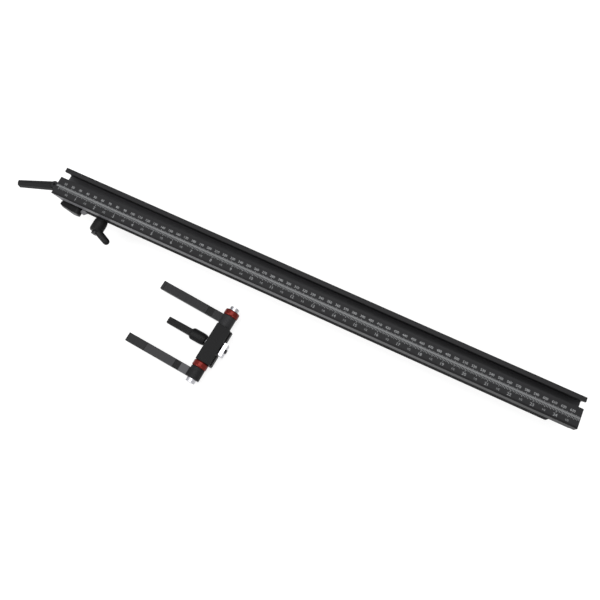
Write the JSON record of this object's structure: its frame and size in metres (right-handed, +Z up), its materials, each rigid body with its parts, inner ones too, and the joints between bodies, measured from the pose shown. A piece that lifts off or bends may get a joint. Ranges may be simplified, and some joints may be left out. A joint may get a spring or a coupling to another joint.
{
  "type": "miter gauge fence",
  "caption": "Long black aluminium miter gauge fence with a ruled top, a telescoping rail with clamping levers, and its loose double flip stop beside it.",
  "frame": {"origin": "on the underside of the fence at the middle of its length, below the row of millimetre numbers", "axes": "+X along the fence away from its clamping levers, +Y out of the work face, +Z up through the ruled top"},
  "size_m": [0.6919, 0.1608, 0.056],
  "materials": {
    "black_anodised": "satin black anodised extrusion",
    "scale_black": "matt black printed tape",
    "nylon": "white nylon",
    "black_cast": "fine black powder coat",
    "black_steel": "blackened steel",
    "bright_steel": "bright zinc-plated steel",
    "bright_aluminium": "plain satin aluminium",
    "black_plastic": "fine-grained black nylon",
    "dark_grey_aluminium": "dark grey anodised, with blacker bands",
    "red_anodised": "bright red anodised"
  },
  "bodies": {
    "fence": {"fence_body": "black_anodised", "scale_tape": "scale_black", "stop_block": "black_cast", "guide_keys": "black_plastic", "upper_collar": "red_anodised", "lower_collar": "red_anodised", "upper_pivot_bolt": "bright_steel", "lower_pivot_bolt": "bright_steel", "stop_t_nut": "bright_steel", "stop_washer": "bright_steel", "stop_spacer": "black_steel"},
    "rail": {"extension_rail": "black_anodised", "rail_glides": "nylon", "end_bracket": "black_cast", "bracket_screws": "black_steel", "finger_screw": "black_steel", "clamp_plate_a": "bright_steel", "clamp_plate_b": "bright_steel", "lever_washer": "bright_steel", "wedge_catch": "bright_aluminium"},
    "finger": {"stop_finger": "black_cast"},
    "ratchet_lever": {"lever_stud": "black_steel", "lever_handle": "black_plastic"},
    "wedge_lever": {"wedge_stud": "black_steel", "wedge_handle": "black_plastic"},
    "upper_flip_arm": {"upper_arm": "dark_grey_aluminium"},
    "lower_flip_arm": {"lower_arm": "dark_grey_aluminium"},
    "stop_lever": {"stop_stud": "black_steel", "stop_lever_handle": "black_plastic"}
  },
  "joints": [
    {"name": "rail_slide", "type": "slide", "parent": "fence", "child": "rail", "axis": [-1, 0, 0], "range_m": [0, 0.3]},
    {"name": "finger_swing", "type": "hinge", "parent": "rail", "child": "finger", "pos_m": [-0.3295, -0.0024, 0.04], "axis": [0, 0, 1], "range_deg": [-112, 40]},
    {"name": "ratchet_lever_turn", "type": "hinge", "parent": "rail", "child": "ratchet_lever", "pos_m": [-0.2562, -0.0206, 0.0391], "axis": [0, 1, 0], "range_deg": [-90, 90]},
    {"name": "wedge_lever_turn", "type": "hinge", "parent": "rail", "child": "wedge_lever", "pos_m": [-0.2892, -0.0186, 0.0391], "axis": [0, 1, 0], "range_deg": [-85, 85]},
    {"name": "upper_arm_flip", "type": "hinge", "parent": "fence", "child": "upper_flip_arm", "pos_m": [-0.075, -0.091, 0.0095], "axis": [0.0732, 0.9973, 0], "range_deg": [-2.5, 177.5]},
    {"name": "lower_arm_flip", "type": "hinge", "parent": "fence", "child": "lower_flip_arm", "pos_m": [-0.075, -0.091, 0.0095], "axis": [0.0732, 0.9973, 0], "range_deg": [0, 180]},
    {"name": "stop_lever_turn", "type": "hinge", "parent": "fence", "child": "stop_lever", "pos_m": [-0.075, -0.091, 0.0095], "axis": [0.9973, -0.0732, 0], "range_deg": [-90, 90]}
  ]
}
